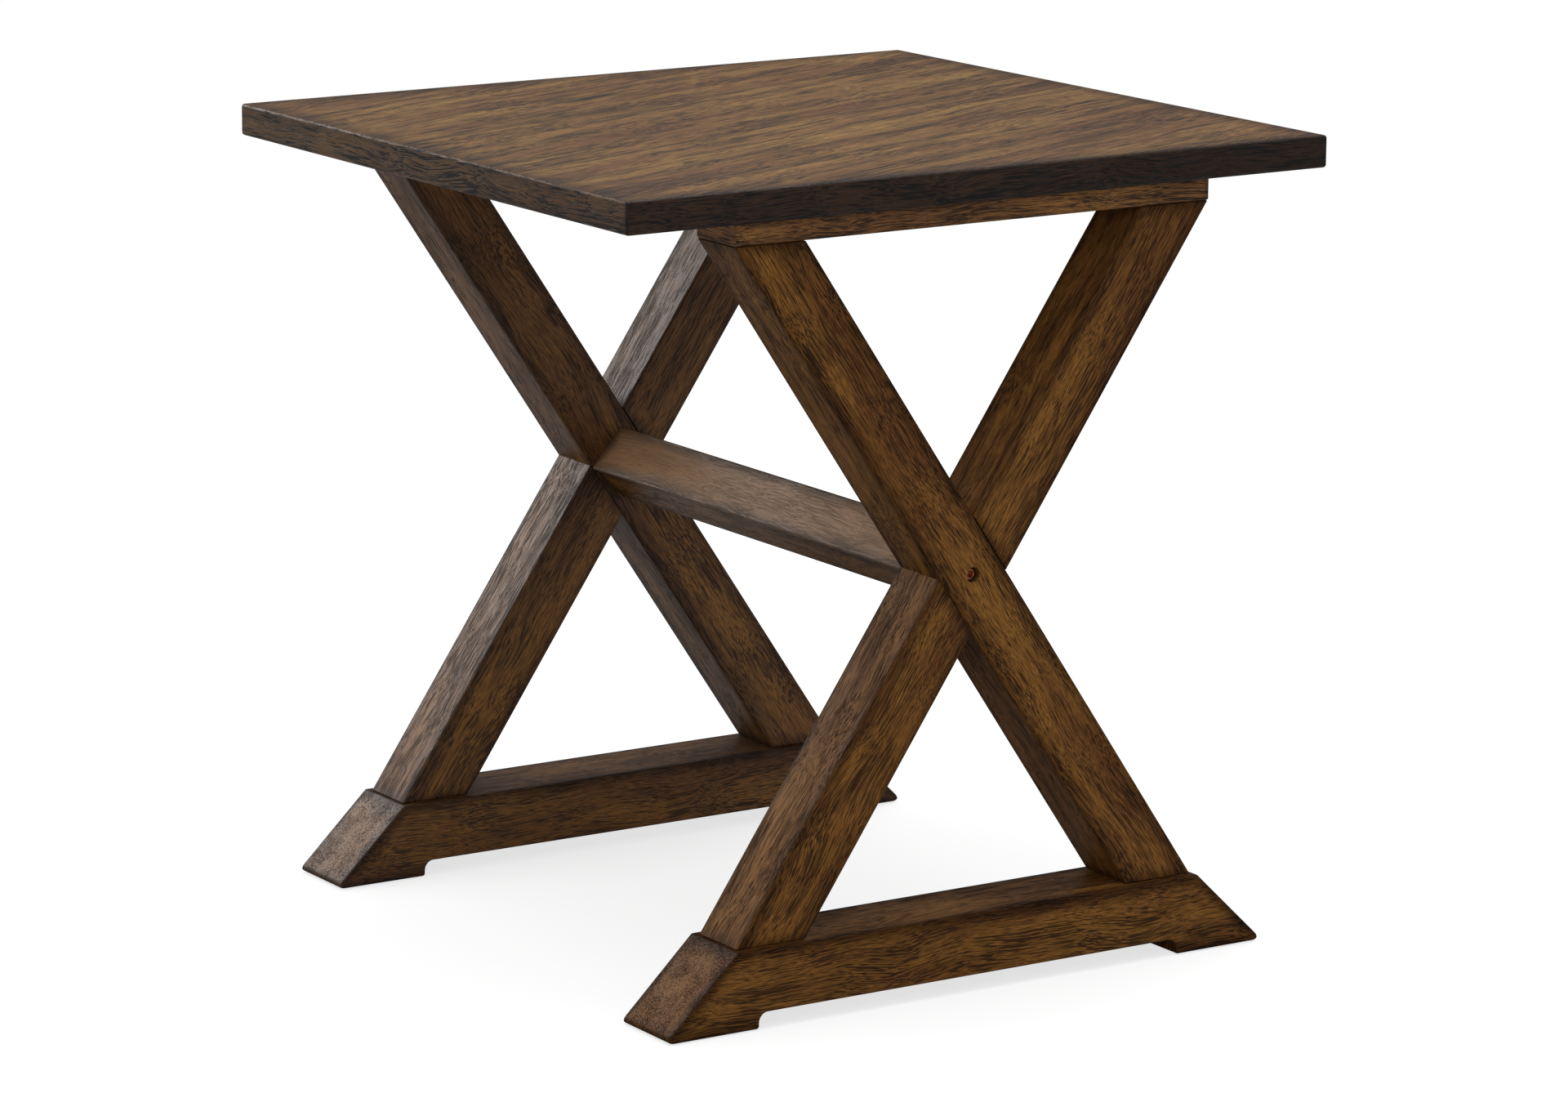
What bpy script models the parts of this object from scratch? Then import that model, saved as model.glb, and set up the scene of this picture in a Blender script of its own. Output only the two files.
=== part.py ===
"""Trestle end table: a plain wooden top on two X shaped frames joined by one stretcher.

Metres, +Z up. The origin is on the floor, midway between the four feet. +X runs along the
front edge of the top, and the front frame stands on the -Y side. "Falling" legs drop from the
upper left to the lower right when the table is seen from the front, "rising" legs the other
way. Every joint is glued or bolted, so nothing on the table moves.
"""

import math

import bmesh
import bpy
from mathutils import Matrix, Vector

# ---------------------------------------------------------------- driving dimensions
GAP = 0.0003                      # clearance left between neighbouring pieces

TABLE_HEIGHT = 0.6096
TOP_LENGTH = 0.604
TOP_DEPTH = 0.562
TOP_THICKNESS = 0.0242
TOP_EASING = 0.0025

CLEAT_LENGTH = 0.410
CLEAT_HEIGHT = 0.0179
CLEAT_EASING = 0.0015

FRAME_CENTRE = 0.2412             # from the middle of the table to the middle of each frame
LEG_WIDTH = 0.0488                # across a leg, in the plane of its frame
LEG_THICKNESS = 0.0508            # along Y
LEG_LEAN = math.radians(55.65)    # above the horizontal
LEG_EASING = 0.002
CROSSING_HEIGHT = 0.3110

FOOT_LENGTH = 0.5304              # along the floor
FOOT_TOP_LENGTH = 0.4068
FOOT_HEIGHT = 0.0597
FOOT_DEPTH = 0.064
FOOT_EASING = 0.002
TOE_EASING = 0.0035
ARCH_LENGTH = 0.370               # the hollow between the two pads of a foot
ARCH_HEIGHT = 0.0126
ARCH_FILLET = 0.0075

STRETCHER_SIDE = 0.041            # a square beam
STRETCHER_TURN = math.radians(49)  # it stands on edge, a little past 45 degrees
STRETCHER_EASING = 0.002

# Stretcher bolt, an M6 socket screw that runs through the crossing into a barrel nut
BOLT_HEAD_RADIUS = 0.005
BOLT_HEAD_HEIGHT = 0.006
BOLT_SHANK_RADIUS = 0.0029
BOLT_SHANK_LENGTH = 0.084
BOLT_SOCKET_RADIUS = 0.0029
BOLT_SOCKET_DEPTH = 0.0032
BOLT_POCKET_RADIUS = 0.0058
BOLT_POCKET_DEPTH = 0.0115
WASHER_RADIUS = 0.0054
WASHER_THICKNESS = 0.0012
BARREL_RADIUS = 0.005
BARREL_LENGTH = 0.018
BARREL_INSET = 0.036              # from the stretcher's end to the barrel nut

# Dowels
STRETCHER_DOWEL = (0.004, 0.028)  # radius and length
STRETCHER_DOWEL_OFFSET = 0.0145   # above and below the bolt
STRETCHER_DOWEL_IN_LEG = 0.012
FOOT_DOWEL = (0.005, 0.034)
FOOT_DOWEL_X = 0.178
FOOT_DOWEL_IN_LEG = 0.014
CLEAT_DOWEL = (0.005, 0.024)
CLEAT_DOWEL_X = 0.185
CLEAT_DOWEL_IN_LEG = 0.012

# Wood screws: head radius, head height, shank radius, length under the head
FOOT_SCREW = (0.0055, 0.0045, 0.0025, 0.075)
FOOT_SCREW_X = 0.155
FOOT_SCREW_SINK = 0.020           # from the arch up to the seat of the head
CLEAT_SCREW = (0.0050, 0.0040, 0.0022, 0.055)
CLEAT_SCREW_X = 0.163
TOP_SCREW = (0.0045, 0.0036, 0.0021, 0.028)
TOP_SCREW_X = (-0.120, -0.040, 0.040, 0.120)
TOP_SCREW_SINK = 0.005
SCREW_SOCKET = (0.0022, 0.0026)   # radius and depth of the six sided drive

# Nylon glides, nailed into the pads of the feet
GLIDE_STAND = 0.0008              # how far the wood is held off the floor
GLIDE_RADIUS = 0.011
GLIDE_THICKNESS = 0.0036
GLIDE_NAIL_RADIUS = 0.0012
GLIDE_NAIL_LENGTH = 0.014
GLIDE_X = 0.224

# ---------------------------------------------------------------- derived places
CLEAT_TOP = TABLE_HEIGHT - TOP_THICKNESS - GAP
CLEAT_BOTTOM = CLEAT_TOP - CLEAT_HEIGHT + GAP
HALF_THICK = LEG_THICKNESS / 2
STRETCHER_HALF_LENGTH = FRAME_CENTRE - HALF_THICK - GAP
FRAMES = {"front": -1, "rear": 1}
ENDS = {"left": -1, "right": 1}
LEVELS = {"lower": -1, "upper": 1}

# finish name: base colour, roughness, metallic
FINISHES = {
    "stained_wood": ((0.105, 0.055, 0.027, 1), 0.5, 0.0),
    "raw_beech": ((0.56, 0.38, 0.22, 1), 0.7, 0.0),
    "bronzed_steel": ((0.10, 0.045, 0.028, 1), 0.35, 1.0),
    "zinc_steel": ((0.52, 0.52, 0.50, 1), 0.4, 1.0),
    "nylon": ((0.10, 0.075, 0.055, 1), 0.55, 0.0),
}


# ---------------------------------------------------------------- helpers
def clear_scene():
    for thing in list(bpy.data.objects):
        bpy.data.objects.remove(thing, do_unlink=True)


def make_collection(name):
    group = bpy.data.collections.new(name)
    bpy.context.scene.collection.children.link(group)
    return group


def finish(piece, name):
    """Give a piece its own Principled BSDF material."""
    colour, roughness, metallic = FINISHES[name]
    material = bpy.data.materials.new(f"{piece.name}_{name}")
    material.use_nodes = True
    shader = material.node_tree.nodes["Principled BSDF"]
    shader.inputs["Base Color"].default_value = colour
    shader.inputs["Roughness"].default_value = roughness
    shader.inputs["Metallic"].default_value = metallic
    material.diffuse_color = colour
    piece.data.materials.append(material)
    return piece


def to_object(name, bm, group):
    """Turn a bmesh into an object in a collection."""
    mesh = bpy.data.meshes.new(name)
    bmesh.ops.recalc_face_normals(bm, faces=bm.faces[:])
    bm.to_mesh(mesh)
    bm.free()
    piece = bpy.data.objects.new(name, mesh)
    group.objects.link(piece)
    return piece


def block(size):
    """A bmesh box of the given size, centred on the origin."""
    bm = bmesh.new()
    bmesh.ops.create_cube(bm, size=1.0)
    bmesh.ops.scale(bm, vec=size, verts=bm.verts[:])
    return bm


def edges_along(bm, axis):
    """The edges that run along a world axis, 0 for X, 1 for Y and 2 for Z."""
    def runs(edge):
        span = edge.verts[1].co - edge.verts[0].co
        return abs(span[axis]) > 0.99 * span.length
    return [edge for edge in bm.edges if runs(edge)]


def ease(bm, edges, width, segments=3):
    """Round a set of edges."""
    bmesh.ops.bevel(
        bm, geom=edges, offset=width, offset_type="OFFSET", segments=segments,
        profile=0.5, affect="EDGES", material=-1)


def trim(bm, point, normal):
    """Cut away what lies beyond a plane, and close the cut with a face."""
    everything = bm.verts[:] + bm.edges[:] + bm.faces[:]
    cut = bmesh.ops.bisect_plane(
        bm, geom=everything, dist=1e-6, plane_co=point, plane_no=normal, clear_outer=True)
    rim = [part for part in cut["geom_cut"] if isinstance(part, bmesh.types.BMEdge)]
    bmesh.ops.contextual_create(bm, geom=rim)


def round_edges(piece, width, segments=2):
    """Round every real corner of a piece with a Bevel modifier."""
    bevel = piece.modifiers.new("easing", "BEVEL")
    bevel.width = width
    bevel.segments = segments
    bevel.limit_method = "ANGLE"
    bevel.angle_limit = math.radians(35)


def shade_round(piece, angle=40):
    """Smooth shading with crisp edges past the given angle."""
    piece.data.shade_smooth()
    piece.data.set_sharp_from_angle(angle=math.radians(angle))


def subtract(piece, cutter):
    """Cut a piece with a cutter, which stays hidden from renders."""
    cutter.hide_render = True
    cutter.display_type = "WIRE"
    boolean = piece.modifiers.new(cutter.name, "BOOLEAN")
    boolean.operation = "DIFFERENCE"
    boolean.solver = "EXACT"
    boolean.object = cutter


def drill(piece, name, radius, start, end, sides=24):
    """Bore a round hole between two points of the world."""
    start, end = Vector(start), Vector(end)
    span = end - start
    bm = bmesh.new()
    bmesh.ops.create_cone(
        bm, cap_ends=True, segments=sides, radius1=radius, radius2=radius, depth=span.length)
    cutter = to_object(f"{piece.name}_{name}", bm, cutters)
    cutter.location = (start + end) / 2
    cutter.rotation_mode = "QUATERNION"
    cutter.rotation_quaternion = span.to_track_quat("Z", "Y")
    subtract(piece, cutter)


def turned(name, profile, group, steps=24):
    """A solid of revolution about local Z. The profile is (radius, height), top to bottom."""
    bm = bmesh.new()
    points = [bm.verts.new((radius, 0, height)) for radius, height in profile]
    for upper, lower in zip(points, points[1:]):
        bm.edges.new((upper, lower))
    mesh = bpy.data.meshes.new(name)
    bm.to_mesh(mesh)
    bm.free()
    piece = bpy.data.objects.new(name, mesh)
    group.objects.link(piece)
    screw = piece.modifiers.new("turn", "SCREW")
    screw.axis = "Z"
    screw.angle = 2 * math.pi
    screw.steps = steps
    screw.render_steps = steps
    screw.use_merge_vertices = True
    screw.merge_threshold = 0.00001
    screw.use_smooth_shade = True
    weld = piece.modifiers.new("close", "WELD")
    weld.merge_threshold = 0.00001
    return piece


def cut_socket(piece, radius, depth, head_top):
    """Sink a six sided socket into the top of a head that lies along local Z."""
    bm = bmesh.new()
    bmesh.ops.create_cone(
        bm, cap_ends=True, segments=6, radius1=radius, radius2=radius, depth=2 * depth)
    cutter = to_object(f"{piece.name}_socket", bm, cutters)
    cutter.matrix_world = piece.matrix_world @ Matrix.Translation((0, 0, head_top))
    subtract(piece, cutter)


# ---------------------------------------------------------------- wooden pieces
def make_top():
    bm = block((TOP_LENGTH, TOP_DEPTH, TOP_THICKNESS))
    ease(bm, bm.edges[:], TOP_EASING)
    top = to_object("tabletop", bm, parts)
    top.location.z = TABLE_HEIGHT - TOP_THICKNESS / 2
    shade_round(top)
    for side_name, side in FRAMES.items():
        for number, x in enumerate(TOP_SCREW_X):
            y = side * FRAME_CENTRE
            start = (x, y, CLEAT_TOP - 0.01)
            end = (x, y, CLEAT_BOTTOM + TOP_SCREW_SINK + TOP_SCREW[3] + 2 * GAP)
            drill(top, f"{side_name}_pilot_{number}", TOP_SCREW[2] + GAP, start, end, 16)
    return finish(top, "stained_wood")


def make_cleat(side_name, side):
    """The rail under the top that ties the upper ends of a frame's two legs together."""
    y = side * FRAME_CENTRE
    height = CLEAT_TOP - CLEAT_BOTTOM
    bm = block((CLEAT_LENGTH, LEG_THICKNESS, height))
    lower = [edge for edge in bm.edges if max(v.co.z for v in edge.verts) < 0]
    ease(bm, lower + edges_along(bm, 2), CLEAT_EASING)
    cleat = to_object(f"{side_name}_cleat", bm, parts)
    cleat.location = (0, y, (CLEAT_TOP + CLEAT_BOTTOM) / 2)
    shade_round(cleat)
    for number, x in enumerate(TOP_SCREW_X):
        seat = CLEAT_BOTTOM + TOP_SCREW_SINK
        drill(cleat, f"pocket_{number}", TOP_SCREW[0] + GAP,
              (x, y, CLEAT_BOTTOM - 0.01), (x, y, seat - GAP), 20)
        drill(cleat, f"bore_{number}", TOP_SCREW[2] + GAP,
              (x, y, CLEAT_BOTTOM - 0.01), (x, y, CLEAT_TOP + 0.01), 16)
    for end_name, end in ENDS.items():
        x = end * CLEAT_SCREW_X
        seat = CLEAT_TOP - CLEAT_SCREW[1]
        drill(cleat, f"{end_name}_screw_pocket", CLEAT_SCREW[0] + GAP,
              (x, y, seat - 2 * GAP), (x, y, CLEAT_TOP + 0.01), 20)
        drill(cleat, f"{end_name}_screw_bore", CLEAT_SCREW[2] + GAP,
              (x, y, CLEAT_BOTTOM - 0.01), (x, y, CLEAT_TOP + 0.01), 16)
        x = end * CLEAT_DOWEL_X
        depth = CLEAT_DOWEL[1] - CLEAT_DOWEL_IN_LEG
        drill(cleat, f"{end_name}_dowel_hole", CLEAT_DOWEL[0] + GAP,
              (x, y, CLEAT_BOTTOM - 0.01), (x, y, CLEAT_BOTTOM + depth + GAP), 16)
    return finish(cleat, "stained_wood")


def make_leg(side_name, side, lean_name, lean_sign):
    """A full length leg, trimmed level at both ends and half lapped where it crosses the other."""
    y = side * FRAME_CENTRE
    low = FOOT_HEIGHT + GAP
    high = CLEAT_BOTTOM - GAP
    bm = block((LEG_WIDTH, LEG_THICKNESS, 2 * TABLE_HEIGHT))
    ease(bm, edges_along(bm, 2), LEG_EASING)
    turn = Matrix.Rotation(lean_sign * (math.pi / 2 - LEG_LEAN), 3, "Y")
    bmesh.ops.rotate(bm, matrix=turn, verts=bm.verts[:])
    trim(bm, (0, 0, low - CROSSING_HEIGHT), (0, 0, -1))
    trim(bm, (0, 0, high - CROSSING_HEIGHT), (0, 0, 1))
    leg = to_object(f"{side_name}_leg_{lean_name}", bm, parts)
    leg.location = (0, y, CROSSING_HEIGHT)
    shade_round(leg)

    # The half lap: a falling leg keeps its front half, a rising leg its rear half.
    slot = block((LEG_WIDTH + 2 * GAP, LEG_THICKNESS, 0.2))
    lap = to_object(f"{leg.name}_lap", slot, cutters)
    lap.location = (0, y - lean_sign * (HALF_THICK - GAP / 2), CROSSING_HEIGHT)
    lap.rotation_euler.y = -lean_sign * (math.pi / 2 - LEG_LEAN)
    subtract(leg, lap)

    # The stretcher bolt passes through both legs. The outer half lap also takes its head, and
    # the inner one the dowels that stop the stretcher turning.
    drill(leg, "bolt_bore", BOLT_SHANK_RADIUS + GAP,
          (0, y - side * 0.05, CROSSING_HEIGHT), (0, y + side * 0.05, CROSSING_HEIGHT), 20)
    if lean_sign == side:
        outer_y = y + side * HALF_THICK
        drill(leg, "bolt_pocket", BOLT_POCKET_RADIUS,
              (0, outer_y + side * 0.01, CROSSING_HEIGHT),
              (0, outer_y - side * BOLT_POCKET_DEPTH, CROSSING_HEIGHT), 32)
    else:
        inner_y = y - side * HALF_THICK
        for level_name, level in LEVELS.items():
            z = CROSSING_HEIGHT + level * STRETCHER_DOWEL_OFFSET
            drill(leg, f"{level_name}_dowel_hole", STRETCHER_DOWEL[0] + GAP,
                  (0, inner_y - side * 0.01, z),
                  (0, inner_y + side * (STRETCHER_DOWEL_IN_LEG + GAP), z), 16)

    # Screw and dowel holes in both ends, below on the side where this leg lands.
    foot_sign = -lean_sign
    x = foot_sign * FOOT_SCREW_X
    tip = ARCH_HEIGHT + FOOT_SCREW_SINK + FOOT_SCREW[3]
    drill(leg, "foot_screw", FOOT_SCREW[2] + GAP, (x, y, low - 0.01), (x, y, tip + 2 * GAP), 16)
    x = lean_sign * CLEAT_SCREW_X
    tip = CLEAT_TOP - CLEAT_SCREW[1] - CLEAT_SCREW[3]
    drill(leg, "cleat_screw", CLEAT_SCREW[2] + GAP,
          (x, y, high + 0.01), (x, y, tip - 2 * GAP), 16)
    x = foot_sign * FOOT_DOWEL_X
    drill(leg, "foot_dowel_hole", FOOT_DOWEL[0] + GAP,
          (x, y, low - 0.01), (x, y, low + FOOT_DOWEL_IN_LEG + GAP), 16)
    x = lean_sign * CLEAT_DOWEL_X
    drill(leg, "cleat_dowel_hole", CLEAT_DOWEL[0] + GAP,
          (x, y, high + 0.01), (x, y, high - CLEAT_DOWEL_IN_LEG - GAP), 16)
    return finish(leg, "stained_wood")


def make_foot(side_name, side):
    """The sled foot: a beam with sloping ends, hollowed underneath to leave two pads."""
    y = side * FRAME_CENTRE
    height = FOOT_HEIGHT - GLIDE_STAND
    half_low, half_high = FOOT_LENGTH / 2, FOOT_TOP_LENGTH / 2
    bm = block((FOOT_LENGTH, FOOT_DEPTH, height))
    for sign in (-1, 1):
        slope = Vector((height, 0, half_low - half_high))
        slope.x *= sign
        trim(bm, (sign * half_low, 0, -height / 2), slope.normalized())
    bottom = -height / 2
    toes = [edge for edge in edges_along(bm, 1) if max(v.co.z for v in edge.verts) < bottom + 1e-5]
    ease(bm, toes, TOE_EASING)
    foot = to_object(f"{side_name}_foot", bm, parts)
    foot.location = (0, y, GLIDE_STAND + height / 2)
    shade_round(foot)

    hollow = block((ARCH_LENGTH, FOOT_DEPTH + 0.02, 2 * ARCH_HEIGHT))
    upper = [edge for edge in edges_along(hollow, 1) if edge.verts[0].co.z > 0]
    ease(hollow, upper, ARCH_FILLET, 6)
    arch = to_object(f"{foot.name}_arch", hollow, cutters)
    arch.location = (0, y, 0)
    subtract(foot, arch)
    round_edges(foot, FOOT_EASING)

    for end_name, end in ENDS.items():
        x = end * FOOT_SCREW_X
        seat = ARCH_HEIGHT + FOOT_SCREW_SINK
        drill(foot, f"{end_name}_screw_pocket", FOOT_SCREW[0] + GAP,
              (x, y, 0), (x, y, seat + GAP), 20)
        drill(foot, f"{end_name}_screw_bore", FOOT_SCREW[2] + GAP,
              (x, y, 0), (x, y, FOOT_HEIGHT + 0.01), 16)
        x = end * FOOT_DOWEL_X
        depth = FOOT_DOWEL[1] - FOOT_DOWEL_IN_LEG
        drill(foot, f"{end_name}_dowel_hole", FOOT_DOWEL[0] + GAP,
              (x, y, FOOT_HEIGHT + 0.01), (x, y, FOOT_HEIGHT - depth - GAP), 16)
        x = end * GLIDE_X
        drill(foot, f"{end_name}_glide_recess", GLIDE_RADIUS + 2 * GAP,
              (x, y, -0.01), (x, y, GLIDE_THICKNESS + GAP), 32)
        drill(foot, f"{end_name}_nail_hole", GLIDE_NAIL_RADIUS + GAP,
              (x, y, -0.01), (x, y, GLIDE_THICKNESS + GLIDE_NAIL_LENGTH + GAP), 12)
    return finish(foot, "stained_wood")


def make_stretcher():
    """The beam between the crossings, standing on edge."""
    bm = block((STRETCHER_SIDE, 2 * STRETCHER_HALF_LENGTH, STRETCHER_SIDE))
    ease(bm, edges_along(bm, 1), STRETCHER_EASING)
    stretcher = to_object("stretcher", bm, parts)
    stretcher.location.z = CROSSING_HEIGHT
    stretcher.rotation_euler.y = -STRETCHER_TURN
    shade_round(stretcher)
    for side_name, side in FRAMES.items():
        end_y = side * STRETCHER_HALF_LENGTH
        deep_y = end_y - side * (BARREL_INSET + 0.014)
        drill(stretcher, f"{side_name}_bolt_bore", BOLT_SHANK_RADIUS + GAP,
              (0, end_y + side * 0.01, CROSSING_HEIGHT), (0, deep_y, CROSSING_HEIGHT), 20)
        for level_name, level in LEVELS.items():
            z = CROSSING_HEIGHT + level * STRETCHER_DOWEL_OFFSET
            depth = STRETCHER_DOWEL[1] - STRETCHER_DOWEL_IN_LEG + GAP
            drill(stretcher, f"{side_name}_{level_name}_dowel_hole", STRETCHER_DOWEL[0] + GAP,
                  (0, end_y + side * 0.01, z), (0, end_y - side * depth, z), 16)
        # The barrel nut goes in from the lower right face, which is out of sight.
        inward = Vector((-math.sin(STRETCHER_TURN), 0, math.cos(STRETCHER_TURN)))
        centre = Vector((0, end_y - side * BARREL_INSET, CROSSING_HEIGHT))
        drill(stretcher, f"{side_name}_barrel_hole", BARREL_RADIUS + GAP,
              centre - inward * STRETCHER_SIDE, centre + inward * (BARREL_LENGTH / 2 + GAP), 24)
    return finish(stretcher, "stained_wood")


# ---------------------------------------------------------------- hardware
def bolt_profile():
    """A socket head screw, its seat at local Z = 0 and its shank downwards."""
    head, shank = BOLT_HEAD_RADIUS, BOLT_SHANK_RADIUS
    chamfer = 0.0006
    return [
        (0, BOLT_HEAD_HEIGHT), (head - chamfer, BOLT_HEAD_HEIGHT),
        (head, BOLT_HEAD_HEIGHT - chamfer), (head, 0), (shank, 0),
        (shank, chamfer - BOLT_SHANK_LENGTH), (shank - chamfer, -BOLT_SHANK_LENGTH),
        (0, -BOLT_SHANK_LENGTH)]


def make_stretcher_bolt(side_name, side):
    """Bolt, washer and barrel nut for one end of the stretcher."""
    seat_y = side * (FRAME_CENTRE + HALF_THICK - BOLT_POCKET_DEPTH + GAP)
    washer_middle = seat_y + side * WASHER_THICKNESS / 2
    bolt_y = seat_y + side * (WASHER_THICKNESS + GAP)

    bolt = turned(f"{side_name}_stretcher_bolt", bolt_profile(), parts)
    bolt.location = (0, bolt_y, CROSSING_HEIGHT)
    bolt.rotation_euler.x = -side * math.pi / 2
    bpy.context.view_layer.update()
    cut_socket(bolt, BOLT_SOCKET_RADIUS, BOLT_SOCKET_DEPTH, BOLT_HEAD_HEIGHT)
    finish(bolt, "bronzed_steel")

    half = WASHER_THICKNESS / 2
    bore = BOLT_SHANK_RADIUS + GAP
    ring = [(WASHER_RADIUS, half), (WASHER_RADIUS, -half), (bore, -half), (bore, half),
            (WASHER_RADIUS, half)]
    washer = turned(f"{side_name}_bolt_washer", ring, parts)
    washer.location = (0, washer_middle, CROSSING_HEIGHT)
    washer.rotation_euler.x = math.pi / 2
    finish(washer, "bronzed_steel")

    half = BARREL_LENGTH / 2
    rim = 0.0005
    rod = [(0, half), (BARREL_RADIUS - rim, half), (BARREL_RADIUS, half - rim),
           (BARREL_RADIUS, rim - half), (BARREL_RADIUS - rim, -half), (0, -half)]
    nut = turned(f"{side_name}_barrel_nut", rod, parts)
    nut_y = side * (STRETCHER_HALF_LENGTH - BARREL_INSET)
    nut.location = (0, nut_y, CROSSING_HEIGHT)
    nut.rotation_euler.y = -STRETCHER_TURN
    drill(nut, "thread", BOLT_SHANK_RADIUS + GAP,
          (0, nut_y - 0.02, CROSSING_HEIGHT), (0, nut_y + 0.02, CROSSING_HEIGHT), 20)
    finish(nut, "zinc_steel")


def dowel_profile(radius, length):
    """A plain dowel with chamfered ends, standing on local Z = 0."""
    chamfer = 0.0008
    return [(0, length), (radius - chamfer, length), (radius, length - chamfer),
            (radius, chamfer), (radius - chamfer, 0), (0, 0)]


def make_dowels(side_name, side):
    """The hidden dowels of one frame: in the stretcher's end, the foot and the cleat."""
    y = side * FRAME_CENTRE
    root = side * (FRAME_CENTRE - HALF_THICK + STRETCHER_DOWEL_IN_LEG)
    for level_name, level in LEVELS.items():
        name = f"{side_name}_{level_name}_stretcher_dowel"
        dowel = turned(name, dowel_profile(*STRETCHER_DOWEL), parts, 16)
        dowel.location = (0, root, CROSSING_HEIGHT + level * STRETCHER_DOWEL_OFFSET)
        dowel.rotation_euler.x = side * math.pi / 2
        finish(dowel, "raw_beech")
    for end_name, end in ENDS.items():
        name = f"{side_name}_{end_name}_foot_dowel"
        dowel = turned(name, dowel_profile(*FOOT_DOWEL), parts, 16)
        base = FOOT_HEIGHT + GAP + FOOT_DOWEL_IN_LEG - FOOT_DOWEL[1]
        dowel.location = (end * FOOT_DOWEL_X, y, base)
        finish(dowel, "raw_beech")
        name = f"{side_name}_{end_name}_cleat_dowel"
        dowel = turned(name, dowel_profile(*CLEAT_DOWEL), parts, 16)
        base = CLEAT_BOTTOM - GAP - CLEAT_DOWEL_IN_LEG
        dowel.location = (end * CLEAT_DOWEL_X, y, base)
        finish(dowel, "raw_beech")


def screw_profile(head_radius, head_height, shank_radius, length):
    """A flat topped wood screw, its seat at local Z = 0 and its point downwards."""
    rim = 0.0006
    return [(0, head_height), (head_radius - rim, head_height), (head_radius, head_height - rim),
            (head_radius, 0), (shank_radius, 0), (shank_radius, 3 * shank_radius - length),
            (0, -length)]


def make_screw(name, sizes, seat, points_up):
    """One wood screw, seated at a point of the world."""
    screw = turned(name, screw_profile(*sizes), parts, 16)
    screw.location = seat
    if points_up:
        screw.rotation_euler.x = math.pi
    bpy.context.view_layer.update()
    cut_socket(screw, *SCREW_SOCKET, sizes[1])
    finish(screw, "zinc_steel")


def make_screws(side_name, side):
    """The wood screws of one frame: up through the foot, down through the cleat, up into the top."""
    y = side * FRAME_CENTRE
    for end_name, end in ENDS.items():
        seat = ARCH_HEIGHT + FOOT_SCREW_SINK
        make_screw(f"{side_name}_{end_name}_foot_screw", FOOT_SCREW,
                   (end * FOOT_SCREW_X, y, seat), True)
        seat = CLEAT_TOP - CLEAT_SCREW[1] - GAP
        make_screw(f"{side_name}_{end_name}_cleat_screw", CLEAT_SCREW,
                   (end * CLEAT_SCREW_X, y, seat), False)
    seat = CLEAT_BOTTOM + TOP_SCREW_SINK - 2 * GAP
    for number, x in enumerate(TOP_SCREW_X, start=1):
        make_screw(f"{side_name}_top_screw_{number}", TOP_SCREW, (x, y, seat), True)


def make_glides(side_name, side):
    """Two nylon glides under one foot, each moulded on its nail."""
    rim = 0.0008
    thick = GLIDE_THICKNESS
    profile = [
        (0, thick + GLIDE_NAIL_LENGTH), (GLIDE_NAIL_RADIUS, thick + GLIDE_NAIL_LENGTH - 0.003),
        (GLIDE_NAIL_RADIUS, thick), (GLIDE_RADIUS, thick), (GLIDE_RADIUS, rim),
        (GLIDE_RADIUS - rim, 0), (0, 0)]
    for end_name, end in ENDS.items():
        glide = turned(f"{side_name}_{end_name}_glide", profile, parts, 32)
        glide.location = (end * GLIDE_X, side * FRAME_CENTRE, 0)
        finish(glide, "nylon")


# ---------------------------------------------------------------- assembly
clear_scene()
parts = make_collection("trestle_end_table")
cutters = make_collection("cutters")
make_top()
make_stretcher()
for frame_name, frame_side in FRAMES.items():
    make_cleat(frame_name, frame_side)
    make_leg(frame_name, frame_side, "falling", -1)
    make_leg(frame_name, frame_side, "rising", 1)
    make_foot(frame_name, frame_side)
    make_stretcher_bolt(frame_name, frame_side)
    make_dowels(frame_name, frame_side)
    make_screws(frame_name, frame_side)
    make_glides(frame_name, frame_side)
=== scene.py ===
# %% [markdown]
# # A trestle end table in dark stained wood
#
# The table is a plain board on two crossed frames. Each frame is two half lapped legs, a sled
# foot below and a thin cleat above, and one square stretcher, set on edge, runs between the
# crossings. Everything is glued, screwed or bolted, so the whole table is one rigid body.
#
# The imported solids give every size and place. This script gives them their looks: each wooden
# piece is shaped again with fine rounded arrises, and stained with a grain of its own.

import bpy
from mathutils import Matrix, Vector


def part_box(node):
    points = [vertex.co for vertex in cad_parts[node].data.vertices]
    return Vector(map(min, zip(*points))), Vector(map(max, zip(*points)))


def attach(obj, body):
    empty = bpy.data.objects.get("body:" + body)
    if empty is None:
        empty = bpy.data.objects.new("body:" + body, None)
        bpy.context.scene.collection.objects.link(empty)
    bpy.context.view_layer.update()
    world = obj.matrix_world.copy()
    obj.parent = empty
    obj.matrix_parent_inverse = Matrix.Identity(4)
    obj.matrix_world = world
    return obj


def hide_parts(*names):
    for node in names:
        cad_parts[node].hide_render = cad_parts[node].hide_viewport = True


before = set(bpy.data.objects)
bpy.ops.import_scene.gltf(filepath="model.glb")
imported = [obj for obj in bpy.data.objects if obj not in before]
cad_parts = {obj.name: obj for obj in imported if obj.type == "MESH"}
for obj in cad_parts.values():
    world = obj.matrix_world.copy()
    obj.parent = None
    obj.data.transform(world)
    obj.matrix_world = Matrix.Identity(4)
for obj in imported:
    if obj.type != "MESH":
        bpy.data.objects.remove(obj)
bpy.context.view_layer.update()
print("nodes in the frame:", len(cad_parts))

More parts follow.
